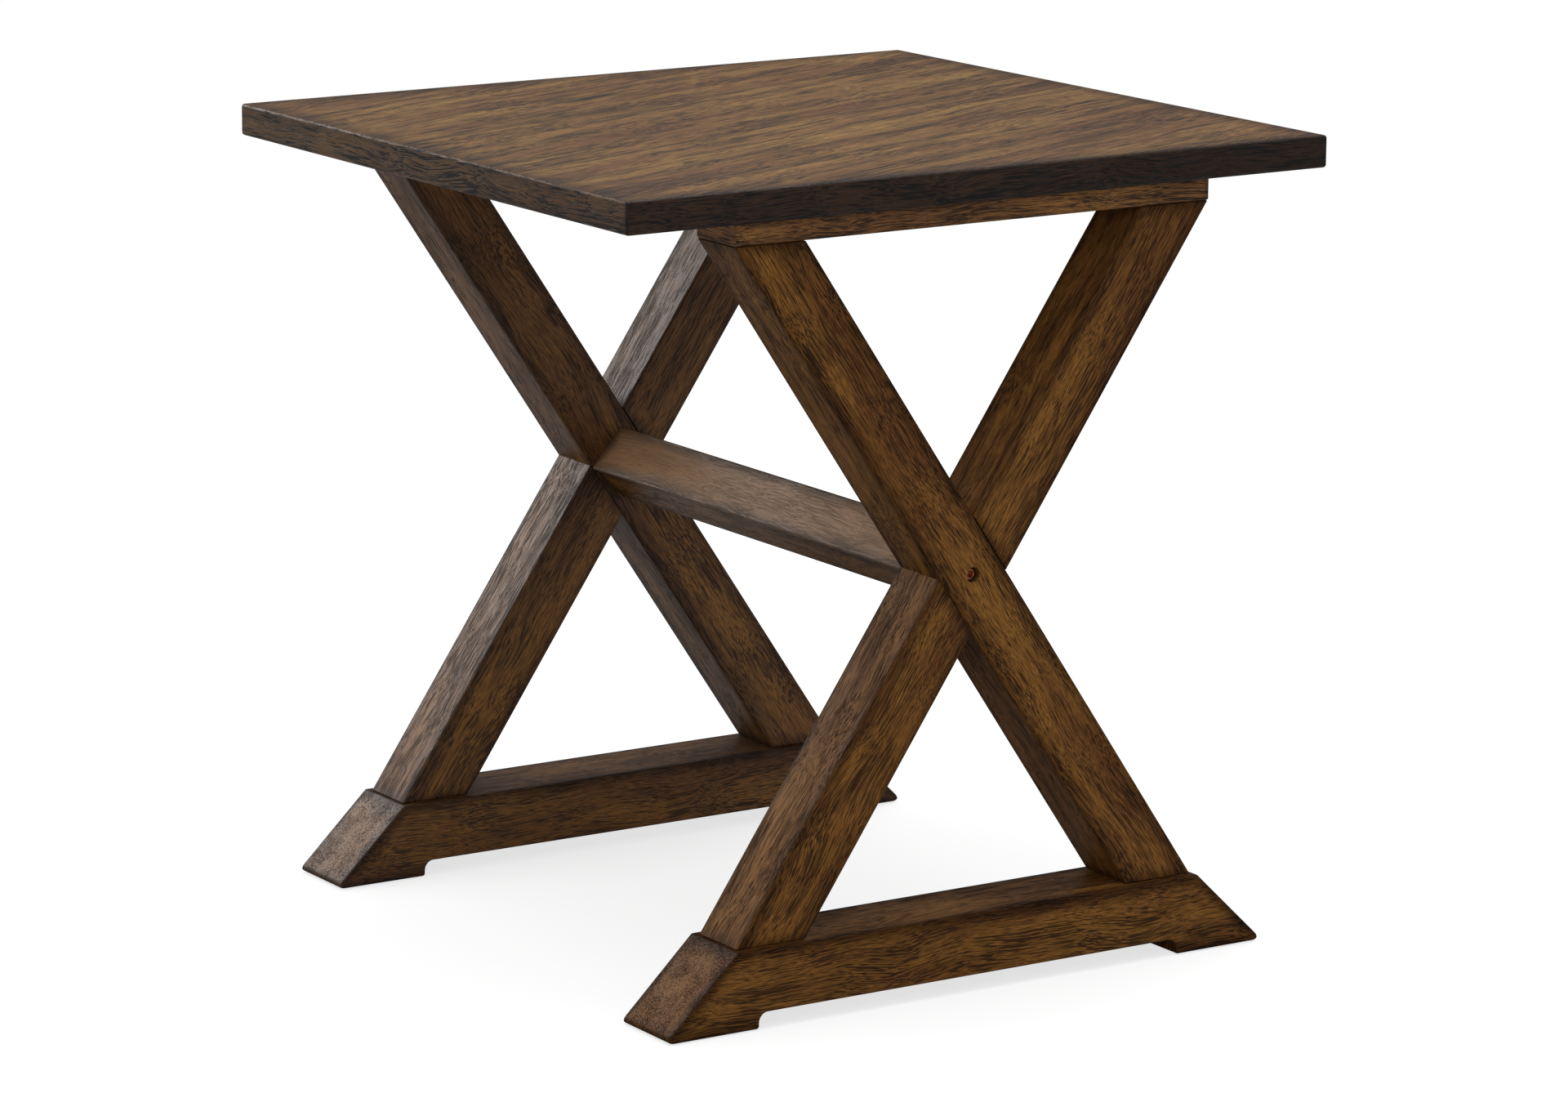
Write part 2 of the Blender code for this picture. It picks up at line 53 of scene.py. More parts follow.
# %% [markdown]
# ## Tools
#
# Everything is measured in metres, as the frame is. The parts of the table stand 0.3 mm apart, so
# that neighbours never share a surface. Each frame lies on one side of the middle in Y, and each
# leg of a frame leans one way or the other in X.

# %% Tools used all through
import math

import bmesh
import bpy
import numpy as np
from mathutils import Matrix, Vector

GAP = 0.0003                     # the clearance between neighbouring pieces
FRAMES = {"front": -1, "rear": 1}
LEANS = {"falling": -1, "rising": 1}
BODY = "root"
print(len(FRAMES) * len(LEANS), "legs to make, on the body", BODY)

# %% [markdown]
# ## The camera
#
# A long lens keeps the verticals of furniture nearly parallel. The camera stands to the left of
# the front, a little above the top, and looks down at it. The view is shifted sideways instead
# of turning the camera, which leaves the perspective alone.

# %% Camera
LENS = 137.4                     # mm, on a sensor 36 mm wide
SIDE_SHIFT = 0.1174
STAND_POINT = (-2.4196, -3.7252, 1.2468)
LOOKING_DOWN = 12.276            # degrees below level
LOOKING_RIGHT = 31.321           # degrees away from straight ahead

camera_data = bpy.data.cameras.new("camera")
camera_data.lens = LENS
camera_data.sensor_width = 36
camera_data.shift_x = SIDE_SHIFT
camera_data.clip_end = 200
camera = bpy.data.objects.new("camera", camera_data)
camera.location = STAND_POINT
camera.rotation_euler = (math.radians(90 - LOOKING_DOWN), 0, math.radians(-LOOKING_RIGHT))
bpy.context.scene.collection.objects.link(camera)
bpy.context.scene.camera = camera
print("lens", camera_data.lens, "mm")

# %% [markdown]
# ## Shaping wood
#
# A joiner starts from sawn bars, rounds the sharp corners, called arrises, with a plane, and then
# bores and cuts the joints. The same order works in bmesh: a cube is scaled to the bar, its edges
# are bevelled, planes trim its ends, and cutters take out the joints at the very end, so that the
# rounding stays even.

# %% Helpers that shape a bar
ARRIS_STEPS = 5
SAME_PLACE = 1e-6                # two measures this close, in metres, are the same
print("an arris is rounded in", ARRIS_STEPS, "steps")


def bar(length, depth, height):
    """A squared bar, centred on the origin, its length along X."""
    bm = bmesh.new()
    bmesh.ops.create_cube(bm, size=1.0)
    bmesh.ops.scale(bm, vec=(length, depth, height), verts=bm.verts[:])
    return bm


def edges_along(bm, axis):
    """The edges that run along a world axis, 0 for X, 1 for Y and 2 for Z."""
    def runs(edge):
        span = edge.verts[1].co - edge.verts[0].co
        return abs(span[axis]) > 0.99 * span.length
    return [edge for edge in bm.edges if runs(edge)]


def ease(bm, edges, width, steps=ARRIS_STEPS):
    """Round a set of edges."""
    bmesh.ops.bevel(bm, geom=edges, offset=width, offset_type="OFFSET", segments=steps,
                    profile=0.5, affect="EDGES", material=-1)


def trim(bm, point, normal):
    """Saw off what lies beyond a plane, and return the edges around the new end."""
    everything = bm.verts[:] + bm.edges[:] + bm.faces[:]
    cut = bmesh.ops.bisect_plane(bm, geom=everything, dist=SAME_PLACE,
                                 plane_co=point, plane_no=normal, clear_outer=True)
    rim = [part for part in cut["geom_cut"] if isinstance(part, bmesh.types.BMEdge)]
    bmesh.ops.contextual_create(bm, geom=rim)
    return rim


def to_piece(name, bm):
    """Make an object of a bmesh."""
    bmesh.ops.recalc_face_normals(bm, faces=bm.faces[:])
    mesh = bpy.data.meshes.new(name)
    bm.to_mesh(mesh)
    bm.free()
    piece = bpy.data.objects.new(name, mesh)
    bpy.context.scene.collection.objects.link(piece)
    return piece


# %% [markdown]
# ## Cutting joints
#
# Every dowel, screw and bolt is a turned shape, so its hole is one cylinder for the shank and a
# wider one for the head. Their radii are measured on the fastener's own solid. A Boolean takes
# each cutter out of the wood, and the result is kept as the piece's mesh.

# %% Helpers that bore and carve
WELD = 5e-6                      # a cut leaves points closer than this, and they are merged
HOLE_SIDES = 32
SHANK_SIDES = 20
HEAD_SHARE = 0.98                # a point this far out, of the widest, is on the head
CLEAR_OF_HEAD = 0.3              # this share of the length away from the head is shank
print(f"cuts are welded to {WELD * 1000:.3f} mm")


def plug(radius, start, end, sides=HOLE_SIDES, flare=0.0):
    """A cylinder between two points, as a cutter. A flare widens its end into a chamfer."""
    start, end = Vector(start), Vector(end)
    span = end - start
    bm = bmesh.new()
    bmesh.ops.create_cone(bm, cap_ends=True, segments=sides, radius1=radius,
                          radius2=radius + flare, depth=span.length)
    turn = span.to_track_quat("Z", "Y").to_matrix()
    bmesh.ops.rotate(bm, matrix=turn, verts=bm.verts[:])
    bmesh.ops.translate(bm, vec=(start + end) / 2, verts=bm.verts[:])
    return to_piece("cutter", bm)


def carve(piece, cutters):
    """Take the cutters out of a piece, for good, and weld what the cuts leave."""
    for cutter in cutters:
        cut = piece.modifiers.new("cut", "BOOLEAN")
        cut.operation = "DIFFERENCE"
        cut.solver = "EXACT"
        cut.object = cutter
    depsgraph = bpy.context.evaluated_depsgraph_get()
    carved = bpy.data.meshes.new_from_object(piece.evaluated_get(depsgraph))
    bm = bmesh.new()
    bm.from_mesh(carved)
    bmesh.ops.remove_doubles(bm, verts=bm.verts[:], dist=WELD)
    bmesh.ops.dissolve_degenerate(bm, edges=bm.edges[:], dist=WELD)
    bm.to_mesh(carved)
    bm.free()
    piece.modifiers.clear()
    piece.data = carved
    for cutter in cutters:
        bpy.data.objects.remove(cutter)


def measure(node):
    """A fastener's axis, its tip, seat and head along it, and its two radii."""
    low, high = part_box(node)
    middle, size = (low + high) / 2, high - low
    axis = max(range(3), key=lambda i: size[i])
    across = [i for i in range(3) if i != axis]
    points = np.array([v.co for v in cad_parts[node].data.vertices])
    height = points[:, axis]
    radius = np.hypot(*(points[:, across] - np.array(middle)[across]).T)
    wide = height[radius > HEAD_SHARE * radius.max()]
    heads_up = wide.mean() > middle[axis] - SAME_PLACE
    tip, head = (low[axis], high[axis]) if heads_up else (high[axis], low[axis])
    seat = wide.min() if heads_up else wide.max()
    shank = radius[abs(height - head) > CLEAR_OF_HEAD * size[axis]].max()
    return {"axis": axis, "middle": middle, "tip": tip, "seat": seat, "head": head,
            "shank": shank, "radius": radius.max(), "up": 1 if heads_up else -1}


def bores(node, reach, pocket=0.0):
    """The cutters for one fastener. The head's hole goes on past it by the given reach."""
    facts = measure(node)

    def at(height):
        place = facts["middle"].copy()
        place[facts["axis"]] = height
        return place

    up = facts["up"]
    wide = max(facts["radius"] + GAP, pocket)
    shank = plug(facts["shank"] + GAP, at(facts["tip"] - up * GAP), at(facts["seat"]),
                 SHANK_SIDES)
    head = plug(wide, at(facts["seat"] - up * GAP), at(facts["head"] + up * reach))
    return [shank, head]


# %% [markdown]
# ## Finding the joints
#
# A fastener joins the pieces it passes through, so its box meets theirs. Each wooden piece looks
# up the fasteners that meet it, and bores for all of them. A screw driven from below leaves a
# round well where its head went in, so its hole runs on until it comes out of the wood.

# %% Which fasteners pass through which piece of wood
BOLT_POCKET_RADIUS = 0.0058
REACHES = {"stretcher_bolt": 0.02, "foot_screw": 0.03, "top_screw": 0.012}


def reach_of(node):
    """How far a head's pocket runs on, to where it comes out of the wood."""
    return next((far for words, far in REACHES.items() if words in node), GAP)


def touching(node, others):
    """The nodes whose boxes meet the box of this one."""
    low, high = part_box(node)
    found = []
    for other in others:
        other_low, other_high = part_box(other)
        if all(low[i] < other_high[i] and other_low[i] < high[i] for i in range(3)):
            found.append(other)
    return found


kinds = ("_dowel", "_screw", "stretcher_bolt")
fasteners = sorted(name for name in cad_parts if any(kind in name for kind in kinds))
print(len(fasteners), "fasteners to bore for")


def joinery(node):
    """All the bores that one wooden node needs."""
    cutters = []
    for fastener in touching(node, fasteners):
        pocket = BOLT_POCKET_RADIUS if "stretcher_bolt" in fastener else 0.0
        cutters += bores(fastener, reach_of(fastener), pocket)
    return cutters


# %% [markdown]
# ## The direction of the grain
#
# Wood looks like wood when its streaks run along each piece. Every face stores a point in the
# piece's own grain frame, with X along the fibres, in metres. The long faces share one frame, so
# streaks turn the corner at an arris. The ends of the pieces are finished to match the sides, so
# they get a frame of their own, with the streaks lying in the face.

# %% Grain frame as a corner attribute
END_FACING = 0.6                 # how squarely a face looks along the grain to count as an end
WOOD_SHARP_ANGLE = 32            # degrees


def lay_grain(piece, along, centre, end_along):
    """Store each corner's place in the grain frame."""
    along, end_along = Vector(along).normalized(), Vector(end_along).normalized()
    side = Vector((0, 1, 0)) if abs(along.y) < 0.9 else Vector((1, 0, 0))
    across = (side - along * side.dot(along)).normalized()
    long_frame = Matrix((along, across, along.cross(across)))
    end_frame = Matrix((end_along, along, end_along.cross(along).normalized()))
    mesh = piece.data
    layer = mesh.attributes.new("grain", "FLOAT_VECTOR", "CORNER")
    centre = Vector(centre)
    for face in mesh.polygons:
        turned = end_frame if abs(face.normal.dot(along)) > END_FACING else long_frame
        for corner in face.loop_indices:
            place = mesh.vertices[mesh.loops[corner].vertex_index].co - centre
            layer.data[corner].vector = turned @ place


def settle(piece, node, sharp_angle):
    """Smooth shading up to an angle, and the piece's place in the table."""
    piece.data.shade_smooth()
    piece.data.set_sharp_from_angle(angle=math.radians(sharp_angle))
    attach(piece, BODY)
    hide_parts(node)
    print(f"{piece.name}: {len(piece.data.polygons)} faces")
    return piece


def polish(piece, node):
    """Finish a wooden piece: its flat faces stay flat between the rounded arrises."""
    even = piece.modifiers.new("even shading", "WEIGHTED_NORMAL")
    even.keep_sharp = True
    return settle(piece, node, WOOD_SHARP_ANGLE)


# %% [markdown]
# ## The top
#
# One flat board with every edge and corner rounded by the same small radius. Its grain does not
# run square to the front, but lies at a slant. Shortening the grain frame along the fibres draws
# every streak out longer than on the legs.

# %% Tabletop
TOP_EASING = 0.0025
TOP_GRAIN_TURN = math.radians(21)
TOP_GRAIN_SHORTENING = 0.55
FACING_UP = 0.5                  # the least upward part of a normal on the upper face

low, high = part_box("tabletop")
top_centre, top_size = (low + high) / 2, high - low
bm = bar(*top_size)
ease(bm, bm.edges[:], TOP_EASING)
bmesh.ops.translate(bm, vec=top_centre, verts=bm.verts[:])
tabletop = to_piece("tabletop_board", bm)
carve(tabletop, joinery("tabletop"))
lay_grain(tabletop, (1, 0, 0), top_centre, (0, 1, 0))
top_slant = (Matrix.Diagonal((TOP_GRAIN_SHORTENING, 1, 1))
             @ Matrix.Rotation(-TOP_GRAIN_TURN, 3, "Z"))
for face in tabletop.data.polygons:
    if face.normal.z > FACING_UP:
        for corner in face.loop_indices:
            point = tabletop.data.attributes["grain"].data[corner]
            point.vector = top_slant @ Vector(point.vector)
polish(tabletop, "tabletop")

# %% [markdown]
# ## The cleats
#
# A cleat is the thin rail that ties the two upper ends of a frame together and takes the screws
# that hold the top. Only its lower edges and its corners show, so only those are rounded.

# %% Cleats
CLEAT_EASING = 0.0015
cleats = {}
for side_name in FRAMES:
    node = f"{side_name}_cleat"
    low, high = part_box(node)
    bm = bar(*(high - low))
    lower = [edge for edge in bm.edges if max(v.co.z for v in edge.verts) < 0]
    ease(bm, lower + edges_along(bm, 2), CLEAT_EASING)
    bmesh.ops.translate(bm, vec=(low + high) / 2, verts=bm.verts[:])
    cleat = to_piece(f"{node}_rail", bm)
    carve(cleat, joinery(node))
    lay_grain(cleat, (1, 0, 0), (low + high) / 2, (0, 1, 0))
    cleats[side_name] = polish(cleat, node)

# %% [markdown]
# ## The legs
#
# The lean and the width of a leg are read from the frame: its level lower end is a slanting slice
# through it, so the slice's length, with the leg's height and its overall reach, gives both. The
# tiny chamfer around the two level ends leaves the thin dark line that shows where a leg stands.

# %% Measure the lean
LEG_EASING = 0.002
LEG_END_CHAMFER = 0.0006
low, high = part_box("front_leg_rising")
leg_rows = np.array([v.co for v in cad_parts["front_leg_rising"].data.vertices])
slice_row = leg_rows[leg_rows[:, 2] < low.z + 1e-5]
slice_length = np.ptp(slice_row[:, 0])
leg_size = high - low
LEG_LEAN = math.atan2(leg_size.z, leg_size.x - slice_length)
LEG_WIDTH = slice_length * math.sin(LEG_LEAN)
print(f"lean {math.degrees(LEG_LEAN):.2f} degrees, width {LEG_WIDTH * 1000:.2f} mm")

bolt_low, bolt_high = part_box("front_stretcher_bolt")
CROSSING = Vector((0, 0, (bolt_low.z + bolt_high.z) / 2))
print(f"the legs cross at {CROSSING.z * 1000:.1f} mm")

# %% [markdown]
# ## Sawing and lapping the legs
#
# Each leg starts as a long bar with its four long arrises rounded. It is swung to its lean, sawn
# level at both ends, and halved where its partner crosses it: one leg loses the inner half of its
# depth, the other the outer half, and the two close up flush.

# %% Legs
def leg_directions(lean):
    """Unit vectors up the leg and square across it, in the plane of its frame."""
    upward = Vector((lean * math.cos(LEG_LEAN), 0, math.sin(LEG_LEAN)))
    return upward, Vector((upward.z, 0, -upward.x))


def lap_slot(centre_y, lean):
    """The slot that halves a leg: the width of the other leg, and half the depth."""
    bm = bar(3 * LEG_WIDTH, leg_size.y, LEG_WIDTH + 2 * GAP)
    other, _ = leg_directions(-lean)
    bmesh.ops.rotate(bm, matrix=Matrix.Rotation(-math.atan2(other.z, other.x), 3, "Y"),
                     verts=bm.verts[:])
    depth = centre_y - lean * (leg_size.y / 2 - GAP / 2)
    bmesh.ops.translate(bm, vec=(0, depth, CROSSING.z), verts=bm.verts[:])
    return to_piece("lap", bm)


legs = {}
for side_name in FRAMES:
    for lean_name, lean in LEANS.items():
        node = f"{side_name}_leg_{lean_name}"
        low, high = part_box(node)
        centre_y = (low.y + high.y) / 2
        upward, _ = leg_directions(lean)
        bm = bar(2 * leg_size.z, leg_size.y, LEG_WIDTH)
        ease(bm, edges_along(bm, 0), LEG_EASING)
        bmesh.ops.rotate(bm, matrix=Matrix.Rotation(-math.atan2(upward.z, upward.x), 3, "Y"),
                         verts=bm.verts[:])
        bmesh.ops.translate(bm, vec=(0, centre_y, CROSSING.z), verts=bm.verts[:])
        rims = trim(bm, (0, 0, low.z), (0, 0, -1)) + trim(bm, (0, 0, high.z), (0, 0, 1))
        ease(bm, rims, LEG_END_CHAMFER, 1)
        leg = to_piece(f"{node}_bar", bm)
        carve(leg, [lap_slot(centre_y, lean)] + joinery(node))
        lay_grain(leg, upward, (0, centre_y, CROSSING.z), (1, 0, 0))
        legs[side_name, lean_name] = polish(leg, node)

# %% [markdown]
# ## The feet
#
# A sled foot is easiest to draw in outline. Eight corners make the outline, which is pulled
# through the depth of the foot. Then each corner is rounded by its own amount, and the two rims
# last. The hollow underneath leaves a pad at either end, so the foot stands firm on an uneven
# floor.

# %% Feet
FOOT_EASING = 0.0018
CORNER_EASING = 0.0022
TOE_EASING = 0.0035
ARCH_FILLET = 0.0075
ARCH_HALF = 0.185
ARCH_TOP = 0.0126
FOOT_TOP_HALF = 0.2034
FOOT_HALF = 0.2652
FOOT_CORNER_STEPS = 7
GLIDE_THICKNESS = 0.0036
GLIDE_NAIL_RADIUS = 0.0012
NAIL_SIDES = 16
BELOW_FLOOR = -0.01              # where the cutters for the glides start


def foot_outline(low, high):
    """Corners of the foot seen from the front, with the rounding of each."""
    right = [(ARCH_HALF, ARCH_TOP, ARCH_FILLET), (ARCH_HALF, low.z, CORNER_EASING),
             (FOOT_HALF, low.z, TOE_EASING), (FOOT_TOP_HALF, high.z, CORNER_EASING)]
    left = [(-x, z, rounding) for x, z, rounding in reversed(right)]
    return right + left


def round_corner(bm, x, z, radius):
    """Round one corner of the foot's outline, starting the bevel where its arc would start."""
    corner = [edge for edge in edges_along(bm, 1)
              if math.hypot(edge.verts[0].co.x - x, edge.verts[0].co.z - z) < SAME_PLACE]
    start = radius * math.tan(corner[0].calc_face_angle() / 2)
    ease(bm, corner, start, FOOT_CORNER_STEPS)


def glide_recess(node):
    """The recess for a glide, and the hole for its nail."""
    low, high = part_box(node)
    x, y = (low.x + high.x) / 2, (low.y + high.y) / 2
    radius = (high.x - low.x) / 2 + 2 * GAP
    disc = plug(radius, (x, y, BELOW_FLOOR), (x, y, GLIDE_THICKNESS + GAP))
    nail = plug(GLIDE_NAIL_RADIUS + GAP, (x, y, BELOW_FLOOR), (x, y, high.z + GAP),
                NAIL_SIDES)
    return [disc, nail]


feet = {}
for side_name in FRAMES:
    node = f"{side_name}_foot"
    low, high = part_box(node)
    bm = bmesh.new()
    outline = foot_outline(low, high)
    bm.faces.new([bm.verts.new((x, low.y, z)) for x, z, _ in outline])
    pulled = bmesh.ops.extrude_face_region(bm, geom=bm.faces[:])
    moved = [part for part in pulled["geom"] if isinstance(part, bmesh.types.BMVert)]
    bmesh.ops.translate(bm, vec=(0, high.y - low.y, 0), verts=moved)
    bmesh.ops.recalc_face_normals(bm, faces=bm.faces[:])
    for x, z, radius in outline:
        round_corner(bm, x, z, radius)
    rims = [edge for edge in bm.edges
            if abs(edge.verts[0].co.y - edge.verts[1].co.y) < SAME_PLACE]
    ease(bm, rims, FOOT_EASING)
    foot = to_piece(f"{node}_beam", bm)
    glides = [f"{side_name}_{end}_glide" for end in ("left", "right")]
    recesses = [cutter for glide in glides for cutter in glide_recess(glide)]
    carve(foot, joinery(node) + recesses)
    slope = Vector((FOOT_HALF - FOOT_TOP_HALF, 0, low.z - high.z))
    lay_grain(foot, (1, 0, 0), (low + high) / 2, slope)
    feet[side_name] = polish(foot, node)

# %% [markdown]
# ## The stretcher
#
# A square beam turned a little past forty-five degrees, so that it meets both crossings on edge.
# Each barrel nut sits in a hole bored from the face that looks down and to the right.

# %% Stretcher
STRETCHER_SIDE = 0.041
STRETCHER_TURN = math.radians(49)
STRETCHER_EASING = 0.002
BARREL_LENGTH = 0.018

low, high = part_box("stretcher")
stretcher_middle = (low + high) / 2
bm = bar(STRETCHER_SIDE, high.y - low.y, STRETCHER_SIDE)
ease(bm, edges_along(bm, 1), STRETCHER_EASING)
bmesh.ops.rotate(bm, matrix=Matrix.Rotation(-STRETCHER_TURN, 3, "Y"), verts=bm.verts[:])
bmesh.ops.translate(bm, vec=stretcher_middle, verts=bm.verts[:])
stretcher = to_piece("stretcher_beam", bm)
inward = Vector((-math.sin(STRETCHER_TURN), 0, math.cos(STRETCHER_TURN)))
barrel_holes = []
for side_name in FRAMES:
    nut_low, nut_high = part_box(f"{side_name}_barrel_nut")
    centre = (nut_low + nut_high) / 2
    radius = (nut_high.y - nut_low.y) / 2 + GAP
    barrel_holes.append(plug(radius, centre - inward * STRETCHER_SIDE,
                             centre + inward * (BARREL_LENGTH / 2 + GAP)))
carve(stretcher, joinery("stretcher") + barrel_holes)
lay_grain(stretcher, (0, 1, 0), stretcher_middle, (1, 0, 0))
polish(stretcher, "stretcher")

# %% [markdown]
# ## Turned metal and nylon
#
# Bolts and glides are turned again from finer profiles than the solids have. A profile is a row
# of points beside the axis, and spin sweeps it round once. The hidden screws, nuts, washers and
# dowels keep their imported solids, which are fine enough for parts that nobody sees.

# %% Helpers that turn a profile
TURNED_STEPS = 48
TURNED_SHARP_ANGLE = 40          # degrees
print("a turned piece has", TURNED_STEPS, "sides")


def turn(profile):
    """Spin a profile of (radius, height) pairs about Z."""
    bm = bmesh.new()
    points = [bm.verts.new((radius, 0, height)) for radius, height in profile]
    edges = [bm.edges.new(pair) for pair in zip(points, points[1:])]
    bmesh.ops.spin(bm, geom=points + edges, cent=(0, 0, 0), axis=(0, 0, 1), dvec=(0, 0, 0),
                   angle=2 * math.pi, steps=TURNED_STEPS, use_merge=True)
    bmesh.ops.remove_doubles(bm, verts=bm.verts[:], dist=SAME_PLACE)
    return bm


def stand(bm, foot, upward):
    """Move a turned shape so that its origin is at a point and its axis along a direction."""
    turned_to = Vector(upward).to_track_quat("Z", "Y").to_matrix()
    bmesh.ops.rotate(bm, matrix=turned_to, verts=bm.verts[:])
    bmesh.ops.translate(bm, vec=foot, verts=bm.verts[:])


def polish_turned(piece, node):
    """Finish a turned piece."""
    return settle(piece, node, TURNED_SHARP_ANGLE)


# %% [markdown]
# ## The stretcher bolts
#
# Each bolt is a socket head cap screw sunk in a round pocket. Its rim is rounded, and the six
# sided socket has a small lead-in chamfer.

# %% Stretcher bolts
BOLT_SOCKET_RADIUS = 0.0029
BOLT_SOCKET_DEPTH = 0.0032
SOCKET_SIDES = 6
SOCKET_LEAD_IN = 0.0003
BOLT_RIM = 0.0011
BOLT_RIM_STEPS = 4
BOLT_POINT_CHAMFER = 0.0006

bolts = []
for side_name, side in FRAMES.items():
    node = f"{side_name}_stretcher_bolt"
    facts = measure(node)
    head_radius, shank = facts["radius"], facts["shank"]
    head_height = abs(facts["head"] - facts["seat"])
    length = abs(facts["seat"] - facts["tip"])
    profile = [(0, head_height), (head_radius - BOLT_RIM, head_height)]
    for step in range(1, BOLT_RIM_STEPS + 1):
        angle = math.radians(90 - 90 / BOLT_RIM_STEPS * step)
        profile.append((head_radius - BOLT_RIM + BOLT_RIM * math.cos(angle),
                        head_height - BOLT_RIM + BOLT_RIM * math.sin(angle)))
    profile += [(head_radius, 0), (shank, 0), (shank, BOLT_POINT_CHAMFER - length),
                (shank - BOLT_POINT_CHAMFER, -length), (0, -length)]
    bm = turn(profile)
    seat = Vector((0, facts["seat"], CROSSING.z))
    outward = Vector((0, side, 0))
    stand(bm, seat, outward)
    bolt = to_piece(f"{node}_steel", bm)
    face = seat + outward * head_height
    socket = plug(BOLT_SOCKET_RADIUS, face - outward * BOLT_SOCKET_DEPTH,
                  face + outward * BOLT_SOCKET_DEPTH, SOCKET_SIDES)
    lead_in = plug(BOLT_SOCKET_RADIUS - SOCKET_LEAD_IN, face - outward * SOCKET_LEAD_IN,
                   face + outward * SOCKET_LEAD_IN, HOLE_SIDES, 2 * SOCKET_LEAD_IN)
    carve(bolt, [socket, lead_in])
    bolts.append(polish_turned(bolt, node))
print(len(bolts), "bolts")

# %% [markdown]
# ## The glides
#
# Nylon glides keep the pads off the floor. Each has a softly rounded rim, and its nail is moulded
# in.

# %% Glides
GLIDE_RIM = 0.0008
GLIDE_RIM_STEPS = 5
GLIDE_TOP_CHAMFER = 0.0003
NAIL_POINT = 0.003

glide_pieces = []
for side_name in FRAMES:
    for end_name in ("left", "right"):
        node = f"{side_name}_{end_name}_glide"
        low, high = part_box(node)
        radius, tall = (high.x - low.x) / 2, high.z - low.z
        profile = [(0, tall), (GLIDE_NAIL_RADIUS, tall - NAIL_POINT),
                   (GLIDE_NAIL_RADIUS, GLIDE_THICKNESS),
                   (radius - GLIDE_TOP_CHAMFER, GLIDE_THICKNESS),
                   (radius, GLIDE_THICKNESS - GLIDE_TOP_CHAMFER)]
        for step in range(GLIDE_RIM_STEPS + 1):
            angle = math.radians(90 / GLIDE_RIM_STEPS * step)
            profile.append((radius - GLIDE_RIM + GLIDE_RIM * math.cos(angle),
                            GLIDE_RIM - GLIDE_RIM * math.sin(angle)))
        profile.append((0, 0))
        bm = turn(profile)
        bmesh.ops.translate(bm, vec=((low.x + high.x) / 2, (low.y + high.y) / 2, low.z),
                            verts=bm.verts[:])
        glide = to_piece(f"{node}_pad", bm)
        glide_pieces.append(polish_turned(glide, node))
print(len(glide_pieces), "glides")

# %% [markdown]
# ## Node helpers
#
# A material is easier to read when a node is placed, set and wired in one line.

# %% Helpers that wire nodes
VALUE, POINT, TINT = "NodeSocketFloat", "NodeSocketVector", "NodeSocketColor"
print("sockets carry", VALUE, POINT, TINT)


def place(tree, kind, sockets=None, **fields):
    """Add a node, set its fields, and fill its sockets with values or links."""
    node = tree.nodes.new(kind)
    for field, value in fields.items():
        setattr(node, field, value)
    for socket, value in (sockets or {}).items():
        if isinstance(value, bpy.types.NodeSocket):
            tree.links.new(value, node.inputs[socket])
        else:
            node.inputs[socket].default_value = value
    return node


def calc(tree, operation, first, second=0.0):
    """One arithmetic step."""
    return place(tree, "ShaderNodeMath", {0: first, 1: second}, operation=operation).outputs[0]


def soft_step(tree, value, start, end):
    """0 before start, 1 after end, and smooth in between."""
    return place(tree, "ShaderNodeMapRange", {"Value": value, "From Min": start, "From Max": end},
                 interpolation_type="SMOOTHSTEP").outputs["Result"]


def stretch(tree, point, factors):
    """Scale a point by its own factor along each axis."""
    return place(tree, "ShaderNodeVectorMath", {0: point, 1: factors},
                 operation="MULTIPLY").outputs[0]


def noise(tree, point, seed, detail=2.0, roughness=0.5):
    """Fractal noise that a seed moves to another part of the pattern."""
    return place(tree, "ShaderNodeTexNoise",
                 {"Vector": point, "W": seed, "Scale": 1.0, "Detail": detail,
                  "Roughness": roughness}, noise_dimensions="4D")


def blend_colour(tree, share, first, second, mode="MIX"):
    """Mix two colours."""
    return place(tree, "ShaderNodeMix", {0: share, 6: first, 7: second}, data_type="RGBA",
                 blend_type=mode).outputs[2]


def new_group(name, inputs, outputs):
    """A node group with its sockets, each given as name: (kind, default)."""
    group = bpy.data.node_groups.new(name, "ShaderNodeTree")
    for label, (kind, default) in inputs.items():
        socket = group.interface.new_socket(label, in_out="INPUT", socket_type=kind)
        socket.default_value = default
    for label, kind in outputs.items():
        group.interface.new_socket(label, in_out="OUTPUT", socket_type=kind)
    source = group.nodes.new("NodeGroupInput").outputs
    target = group.nodes.new("NodeGroupOutput").inputs
    return group, source, target


# %% [markdown]
# ## Open grain
#
# Stained open-pored timber has three layers. A warm ground drifts between gold and brown. Over it
# lie pores: short dark dashes along the fibres, crowded in some bands and rare in others. Finest
# are the hair-thin fibres. All three use noise that is drawn out along the grain, and the whole
# pattern is bent a little first, so the streaks wander as they do in a real board.

# %% Group: open grain
GOLD = (0.22, 0.098, 0.022, 1)
BROWN = (0.130, 0.052, 0.015, 1)
PORE = (0.020, 0.010, 0.005, 1)
